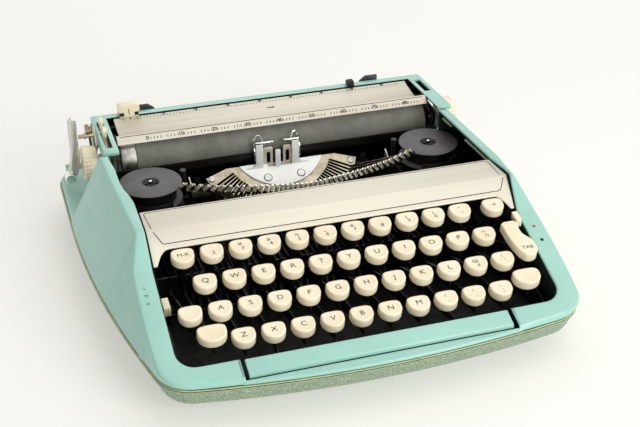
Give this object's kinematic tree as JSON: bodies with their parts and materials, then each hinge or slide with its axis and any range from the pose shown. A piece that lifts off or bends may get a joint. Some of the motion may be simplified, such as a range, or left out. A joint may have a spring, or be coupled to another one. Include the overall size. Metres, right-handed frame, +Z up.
{
  "type": "portable typewriter",
  "caption": "Low portable typewriter: two-part metal case, four-row keyboard, tilted type basket and a sliding carriage with platen, bail and return lever.",
  "frame": {"origin": "on the table, under the middle of the machine", "axes": "+X to the typist's right, +Y away from the typist, +Z up"},
  "size_m": [0.328, 0.31, 0.095],
  "materials": {
    "mint": "semi-gloss mint enamel",
    "splatter": "textured two-tone green paint",
    "ivory": "moulded ivory plastic",
    "rubber": "dull dark rubber",
    "silver": "brushed",
    "black_steel": "black lacquer",
    "nickel": "aged nickel",
    "chrome": "polished",
    "grey_metal": "satin grey"
  },
  "bodies": {
    "root": {"base_pan": "splatter", "rubber_feet": "rubber", "top_cover": "mint", "front_panel": "silver", "chassis": "black_steel", "key_comb": "black_steel", "spool_cups": "black_steel"},
    "basket": {"segment": "nickel", "typebars": "nickel", "segment_plate": "chrome"},
    "live_typebar": {"typebar_live": "nickel"},
    "vibrator": {"ribbon_vibrator": "chrome"},
    "carriage": {"carriage_frame": "black_steel", "carriage_cover": "mint", "paper_table": "silver"},
    "platen_roll": {"platen": "rubber", "platen_knobs": "ivory"},
    "return_lever": {"return_lever": "chrome"},
    "line_space_lever": {"line_space_lever": "ivory"},
    "paper_release_lever": {"paper_release_lever": "ivory"},
    "margin_stop_left": {"margin_stop_left": "ivory"},
    "margin_stop_right": {"margin_stop_right": "black_steel"},
    "paper_bail": {"paper_bail": "silver"},
    "paper_supports": {"paper_supports": "grey_metal"},
    "spool_left": {"spool_left": "grey_metal"},
    "spool_right": {"spool_right": "grey_metal"},
    "space_bar": {"space_bar": "mint"},
    "shift_keys": {"shift_keys": "ivory"},
    "backspace_key": {"backspace_key": "ivory"},
    "margin_release_key": {"margin_release_key": "ivory"},
    "tab_key": {"tab_key": "ivory"},
    "touch_selector": {"touch_selector": "ivory"},
    "colour_selector": {"colour_selector": "ivory"},
    "figure_keys": {"figure_keys": "ivory"},
    "key_a": {"key_a": "ivory"},
    "key_b": {"key_b": "ivory"},
    "key_c": {"key_c": "ivory"},
    "key_d": {"key_d": "ivory"},
    "key_e": {"key_e": "ivory"},
    "key_f": {"key_f": "ivory"},
    "key_g": {"key_g": "ivory"},
    "key_h": {"key_h": "ivory"},
    "key_i": {"key_i": "ivory"},
    "key_j": {"key_j": "ivory"},
    "key_k": {"key_k": "ivory"},
    "key_l": {"key_l": "ivory"},
    "key_m": {"key_m": "ivory"},
    "key_n": {"key_n": "ivory"},
    "key_o": {"key_o": "ivory"},
    "key_p": {"key_p": "ivory"},
    "key_q": {"key_q": "ivory"},
    "key_r": {"key_r": "ivory"},
    "key_s": {"key_s": "ivory"},
    "key_t": {"key_t": "ivory"},
    "key_u": {"key_u": "ivory"},
    "key_v": {"key_v": "ivory"},
    "key_w": {"key_w": "ivory"},
    "key_x": {"key_x": "ivory"},
    "key_y": {"key_y": "ivory"},
    "key_z": {"key_z": "ivory"}
  },
  "joints": [
    {"name": "carriage_travel", "type": "slide", "parent": "root", "child": "carriage", "axis": [1, 0, 0], "range_m": [-0.1, 0.1]},
    {"name": "platen_turn", "type": "hinge", "parent": "carriage", "child": "platen_roll", "pos_m": [0, 0.108, 0.057], "axis": [1, 0, 0], "continuous": true},
    {"name": "return_lever_swing", "type": "hinge", "parent": "carriage", "child": "return_lever", "pos_m": [-0.157, 0.11, 0.047], "axis": [0, -1, 0], "range_deg": [0, 22]},
    {"name": "line_space_set", "type": "hinge", "parent": "carriage", "child": "line_space_lever", "pos_m": [-0.129, 0.127, 0.064], "axis": [1, 0, 0], "range_deg": [-12, 12]},
    {"name": "paper_release_pull", "type": "hinge", "parent": "carriage", "child": "paper_release_lever", "pos_m": [-0.129, 0.11, 0.064], "axis": [1, 0, 0], "range_deg": [0, 30]},
    {"name": "left_margin_set", "type": "slide", "parent": "carriage", "child": "margin_stop_left", "axis": [1, 0, 0], "range_m": [-0.004, 0.08]},
    {"name": "right_margin_set", "type": "slide", "parent": "carriage", "child": "margin_stop_right", "axis": [1, 0, 0], "range_m": [-0.06, 0.03]},
    {"name": "bail_lift", "type": "hinge", "parent": "carriage", "child": "paper_bail", "pos_m": [0, 0.128, 0.064], "axis": [-1, 0, 0], "range_deg": [0, 40]},
    {"name": "supports_tilt", "type": "hinge", "parent": "carriage", "child": "paper_supports", "pos_m": [0, 0.1512, 0.0546], "axis": [-1, 0, 0], "range_deg": [0, 35]},
    {"name": "spool_left_turn", "type": "hinge", "parent": "root", "child": "spool_left", "pos_m": [-0.106, 0.0542, 0.057], "axis": [0, 0, 1], "continuous": true},
    {"name": "spool_right_turn", "type": "hinge", "parent": "root", "child": "spool_right", "pos_m": [0.106, 0.0542, 0.057], "axis": [0, 0, 1], "continuous": true},
    {"name": "space_bar_press", "type": "hinge", "parent": "root", "child": "space_bar", "pos_m": [0, 0.046, 0.01], "axis": [1, 0, 0], "range_deg": [0, 1.6], "stiffness_Nm_per_rad": 6, "springref_deg": -3.44},
    {"name": "shift_press", "type": "hinge", "parent": "root", "child": "shift_keys", "pos_m": [0, 0.046, 0.01], "axis": [1, 0, 0], "range_deg": [0, 3.8], "stiffness_Nm_per_rad": 6, "springref_deg": -5.73},
    {"name": "basket_lift", "type": "slide", "parent": "root", "child": "basket", "axis": [0, 0, 1], "range_m": [0, 0.00605]},
    {"name": "backspace_press", "type": "hinge", "parent": "root", "child": "backspace_key", "pos_m": [0, 0.046, 0.01], "axis": [1, 0, 0], "range_deg": [0, 5], "stiffness_Nm_per_rad": 1, "springref_deg": -4.58},
    {"name": "margin_release_press", "type": "hinge", "parent": "root", "child": "margin_release_key", "pos_m": [0, 0.046, 0.01], "axis": [1, 0, 0], "range_deg": [0, 5], "stiffness_Nm_per_rad": 1, "springref_deg": -4.58},
    {"name": "tab_press", "type": "hinge", "parent": "root", "child": "tab_key", "pos_m": [0, 0.046, 0.01], "axis": [1, 0, 0], "range_deg": [0, 3], "stiffness_Nm_per_rad": 1, "springref_deg": -4.58},
    {"name": "touch_set", "type": "hinge", "parent": "root", "child": "touch_selector", "pos_m": [-0.12, -0.06, 0.02], "axis": [1, 0, 0], "range_deg": [-8, 8]},
    {"name": "colour_set", "type": "hinge", "parent": "root", "child": "colour_selector", "pos_m": [0.12, -0.06, 0.02], "axis": [1, 0, 0], "range_deg": [-6, 0]},
    {"name": "figures_press", "type": "hinge", "parent": "root", "child": "figure_keys", "pos_m": [0, 0.046, 0.01], "axis": [1, 0, 0], "range_deg": [0, 3], "stiffness_Nm_per_rad": 16, "springref_deg": -4.58},
    {"name": "key_a_press", "type": "hinge", "parent": "root", "child": "key_a", "pos_m": [0, 0.046, 0.01], "axis": [1, 0, 0], "range_deg": [0, 3.6], "stiffness_Nm_per_rad": 1, "springref_deg": -4.58},
    {"name": "key_b_press", "type": "hinge", "parent": "root", "child": "key_b", "pos_m": [0, 0.046, 0.01], "axis": [1, 0, 0], "range_deg": [0, 3], "stiffness_Nm_per_rad": 1, "springref_deg": -4.58},
    {"name": "key_c_press", "type": "hinge", "parent": "root", "child": "key_c", "pos_m": [0, 0.046, 0.01], "axis": [1, 0, 0], "range_deg": [0, 3], "stiffness_Nm_per_rad": 1, "springref_deg": -4.58},
    {"name": "key_d_press", "type": "hinge", "parent": "root", "child": "key_d", "pos_m": [0, 0.046, 0.01], "axis": [1, 0, 0], "range_deg": [0, 3.6], "stiffness_Nm_per_rad": 1, "springref_deg": -4.58},
    {"name": "key_e_press", "type": "hinge", "parent": "root", "child": "key_e", "pos_m": [0, 0.046, 0.01], "axis": [1, 0, 0], "range_deg": [0, 4.2], "stiffness_Nm_per_rad": 1, "springref_deg": -4.58},
    {"name": "key_f_press", "type": "hinge", "parent": "root", "child": "key_f", "pos_m": [0, 0.046, 0.01], "axis": [1, 0, 0], "range_deg": [0, 3.6], "stiffness_Nm_per_rad": 1, "springref_deg": -4.58},
    {"name": "key_g_press", "type": "hinge", "parent": "root", "child": "key_g", "pos_m": [0, 0.046, 0.01], "axis": [1, 0, 0], "range_deg": [0, 3.6], "stiffness_Nm_per_rad": 1, "springref_deg": -4.58},
    {"name": "key_h_press", "type": "hinge", "parent": "root", "child": "key_h", "pos_m": [0, 0.046, 0.01], "axis": [1, 0, 0], "range_deg": [0, 3.6], "stiffness_Nm_per_rad": 1, "springref_deg": -4.58},
    {"name": "key_i_press", "type": "hinge", "parent": "root", "child": "key_i", "pos_m": [0, 0.046, 0.01], "axis": [1, 0, 0], "range_deg": [0, 4.2], "stiffness_Nm_per_rad": 1, "springref_deg": -4.58},
    {"name": "key_j_press", "type": "hinge", "parent": "root", "child": "key_j", "pos_m": [0, 0.046, 0.01], "axis": [1, 0, 0], "range_deg": [0, 3.6], "stiffness_Nm_per_rad": 1, "springref_deg": -4.58},
    {"name": "key_k_press", "type": "hinge", "parent": "root", "child": "key_k", "pos_m": [0, 0.046, 0.01], "axis": [1, 0, 0], "range_deg": [0, 3.6], "stiffness_Nm_per_rad": 1, "springref_deg": -4.58},
    {"name": "key_l_press", "type": "hinge", "parent": "root", "child": "key_l", "pos_m": [0, 0.046, 0.01], "axis": [1, 0, 0], "range_deg": [0, 3.6], "stiffness_Nm_per_rad": 1, "springref_deg": -4.58},
    {"name": "key_m_press", "type": "hinge", "parent": "root", "child": "key_m", "pos_m": [0, 0.046, 0.01], "axis": [1, 0, 0], "range_deg": [0, 3], "stiffness_Nm_per_rad": 1, "springref_deg": -4.58},
    {"name": "key_n_press", "type": "hinge", "parent": "root", "child": "key_n", "pos_m": [0, 0.046, 0.01], "axis": [1, 0, 0], "range_deg": [0, 3], "stiffness_Nm_per_rad": 1, "springref_deg": -4.58},
    {"name": "key_o_press", "type": "hinge", "parent": "root", "child": "key_o", "pos_m": [0, 0.046, 0.01], "axis": [1, 0, 0], "range_deg": [0, 4.2], "stiffness_Nm_per_rad": 1, "springref_deg": -4.58},
    {"name": "key_p_press", "type": "hinge", "parent": "root", "child": "key_p", "pos_m": [0, 0.046, 0.01], "axis": [1, 0, 0], "range_deg": [0, 4.2], "stiffness_Nm_per_rad": 1, "springref_deg": -4.58},
    {"name": "key_q_press", "type": "hinge", "parent": "root", "child": "key_q", "pos_m": [0, 0.046, 0.01], "axis": [1, 0, 0], "range_deg": [0, 4.2], "stiffness_Nm_per_rad": 1, "springref_deg": -4.58},
    {"name": "key_r_press", "type": "hinge", "parent": "root", "child": "key_r", "pos_m": [0, 0.046, 0.01], "axis": [1, 0, 0], "range_deg": [0, 4.2], "stiffness_Nm_per_rad": 1, "springref_deg": -4.58},
    {"name": "key_s_press", "type": "hinge", "parent": "root", "child": "key_s", "pos_m": [0, 0.046, 0.01], "axis": [1, 0, 0], "range_deg": [0, 3.6], "stiffness_Nm_per_rad": 1, "springref_deg": -4.58},
    {"name": "key_t_press", "type": "hinge", "parent": "root", "child": "key_t", "pos_m": [0, 0.046, 0.01], "axis": [1, 0, 0], "range_deg": [0, 4.2], "stiffness_Nm_per_rad": 1, "springref_deg": -4.58},
    {"name": "key_u_press", "type": "hinge", "parent": "root", "child": "key_u", "pos_m": [0, 0.046, 0.01], "axis": [1, 0, 0], "range_deg": [0, 4.2], "stiffness_Nm_per_rad": 1, "springref_deg": -4.58},
    {"name": "key_v_press", "type": "hinge", "parent": "root", "child": "key_v", "pos_m": [0, 0.046, 0.01], "axis": [1, 0, 0], "range_deg": [0, 3], "stiffness_Nm_per_rad": 1, "springref_deg": -4.58},
    {"name": "key_w_press", "type": "hinge", "parent": "root", "child": "key_w", "pos_m": [0, 0.046, 0.01], "axis": [1, 0, 0], "range_deg": [0, 4.2], "stiffness_Nm_per_rad": 1, "springref_deg": -4.58},
    {"name": "key_x_press", "type": "hinge", "parent": "root", "child": "key_x", "pos_m": [0, 0.046, 0.01], "axis": [1, 0, 0], "range_deg": [0, 3], "stiffness_Nm_per_rad": 1, "springref_deg": -4.58},
    {"name": "key_y_press", "type": "hinge", "parent": "root", "child": "key_y", "pos_m": [0, 0.046, 0.01], "axis": [1, 0, 0], "range_deg": [0, 4.2], "stiffness_Nm_per_rad": 1, "springref_deg": -4.58},
    {"name": "key_z_press", "type": "hinge", "parent": "root", "child": "key_z", "pos_m": [0, 0.046, 0.01], "axis": [1, 0, 0], "range_deg": [0, 3], "stiffness_Nm_per_rad": 1, "springref_deg": -4.58},
    {"name": "typebar_strike", "type": "hinge", "parent": "basket", "child": "live_typebar", "pos_m": [0.00154, 0.05669, 0.01777], "axis": [-0.9997, -0.0214, -0.015], "range_deg": [0, 79]},
    {"name": "vibrator_rise", "type": "slide", "parent": "basket", "child": "vibrator", "axis": [0, 0, 1], "range_m": [0, 0.00605]}
  ],
  "couplings": [
    {"joint": "basket_lift", "follows": "shift_press", "m_per_rad": 0.090467},
    {"joint": "typebar_strike", "follows": "key_h_press", "ratio": 21.806},
    {"joint": "vibrator_rise", "follows": "key_h_press", "m_per_rad": 0.095493}
  ]
}
